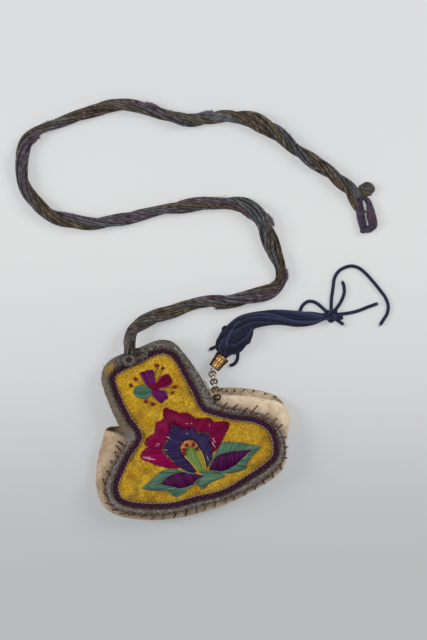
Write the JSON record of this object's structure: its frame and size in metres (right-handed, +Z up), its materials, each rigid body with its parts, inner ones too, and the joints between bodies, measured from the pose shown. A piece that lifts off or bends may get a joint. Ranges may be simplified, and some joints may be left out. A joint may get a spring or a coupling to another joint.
{
  "type": "tobacco pouch",
  "caption": "Soft leather tobacco pouch under an embroidered mushroom-shaped felt panel, with a long twisted carrying cord and a short brass chain that holds a capped, knotted cord tassel.",
  "frame": {"origin": "on the flat back face of the bag, which lies on the table, under the middle of the large flower", "axes": "+Z up from the back to the embroidered front, +Y along the panel's neck towards the carrying cord, +X across the pouch to its chain side"},
  "size_m": [0.2129, 0.2407, 0.0204],
  "materials": {
    "cream_leather": "soft, matt, faintly grained",
    "yellow_felt": "dense wool felt",
    "lining_cloth": "plain cloth",
    "grey_binding": "frayed woven strip",
    "purple_braid": "twisted braid",
    "pale_cord": "couched thread",
    "magenta_silk": "satin stitch, glossy along the thread",
    "indigo_silk": "satin stitch, glossy along the thread",
    "purple_silk": "satin stitch, glossy along the thread",
    "teal_silk": "satin stitch, glossy along the thread",
    "tan_silk": "satin stitch",
    "green_silk": "satin stitch",
    "brass": "worn and darkened, bright on the edges",
    "navy_cord": "thin plied cord",
    "twisted_cord": "loosely twisted strands",
    "chenille": "short soft pile"
  },
  "bodies": {
    "pouch": {"leather_bag": "cream_leather", "felt_panel": "yellow_felt", "panel_lining": "lining_cloth", "panel_binding": "grey_binding", "purple_braid": "purple_braid", "inner_couched_cord": "pale_cord", "outer_couched_cord": "pale_cord", "lotus_outer_petal_1": "magenta_silk", "lotus_outer_petal_2": "magenta_silk", "lotus_outer_petal_3": "magenta_silk", "lotus_outer_petal_4": "magenta_silk", "lotus_outer_petal_5": "magenta_silk", "lotus_outer_petal_6": "magenta_silk", "lotus_outer_petal_7": "magenta_silk", "lotus_inner_petal_1": "indigo_silk", "lotus_inner_petal_2": "indigo_silk", "lotus_inner_petal_3": "indigo_silk", "lotus_inner_petal_4": "indigo_silk", "lotus_inner_petal_5": "indigo_silk", "stamen_arch": "tan_silk", "stamen_strip_left": "tan_silk", "stamen_fan": "green_silk", "stamen_strip_right": "tan_silk", "lotus_stem": "teal_silk", "leaf_left": "teal_silk", "leaf_right": "teal_silk", "leaf_heart_left": "purple_silk", "leaf_heart_right": "purple_silk", "bud_petal_top": "purple_silk", "bud_petal_right": "magenta_silk", "bud_petal_low": "purple_silk", "bud_petal_left": "teal_silk", "chain_anchor": "brass", "cord_hitch": "twisted_cord", "carrying_cord": "twisted_cord", "cord_eye": "twisted_cord", "chenille_loop": "chenille"},
    "link_1": {"chain_link_1": "brass"},
    "link_2": {"chain_link_2": "brass"},
    "link_3": {"chain_link_3": "brass"},
    "link_4": {"chain_link_4": "brass"},
    "link_5": {"chain_link_5": "brass"},
    "link_6": {"chain_link_6": "brass"},
    "link_7": {"chain_link_7": "brass"},
    "tassel": {"cap_loop": "brass", "tassel_cap": "brass", "tassel_hank": "navy_cord", "tassel_tie": "navy_cord", "tassel_end_long": "navy_cord", "tassel_end_curled": "navy_cord", "tassel_end_straight": "navy_cord", "tassel_end_arch": "navy_cord", "tassel_end_short": "navy_cord", "tassel_stub_left": "navy_cord", "tassel_stub_low": "navy_cord"}
  },
  "joints": [
    {"name": "link_1_lift", "type": "hinge", "parent": "pouch", "child": "link_1", "pos_m": [0.02662, 0.02344, 0.01505], "axis": [0.9816, -0.1908, 0], "range_deg": [0, 15]},
    {"name": "link_2_swing", "type": "hinge", "parent": "link_1", "child": "link_2", "pos_m": [0.02704, 0.0256, 0.01363], "axis": [-0.1039, -0.5346, -0.8387], "range_deg": [0, 15]},
    {"name": "link_3_lift", "type": "hinge", "parent": "link_2", "child": "link_3", "pos_m": [0.02746, 0.02776, 0.0122], "axis": [0.9816, -0.1908, 0], "range_deg": [0, 15]},
    {"name": "link_4_swing", "type": "hinge", "parent": "link_3", "child": "link_4", "pos_m": [0.02788, 0.02991, 0.01077], "axis": [-0.1039, -0.5346, -0.8387], "range_deg": [0, 15]},
    {"name": "link_5_lift", "type": "hinge", "parent": "link_4", "child": "link_5", "pos_m": [0.0283, 0.03207, 0.00935], "axis": [0.9816, -0.1908, 0], "range_deg": [0, 15]},
    {"name": "link_6_swing", "type": "hinge", "parent": "link_5", "child": "link_6", "pos_m": [0.02872, 0.03423, 0.00792], "axis": [-0.1039, -0.5346, -0.8387], "range_deg": [0, 15]},
    {"name": "link_7_lift", "type": "hinge", "parent": "link_6", "child": "link_7", "pos_m": [0.02914, 0.03638, 0.00649], "axis": [0.9816, -0.1908, 0], "range_deg": [0, 15]},
    {"name": "tassel_swing", "type": "hinge", "parent": "link_7", "child": "tassel", "pos_m": [0.02954, 0.03848, 0.00453], "axis": [0, 0, -1], "range_deg": [0, 15]}
  ]
}
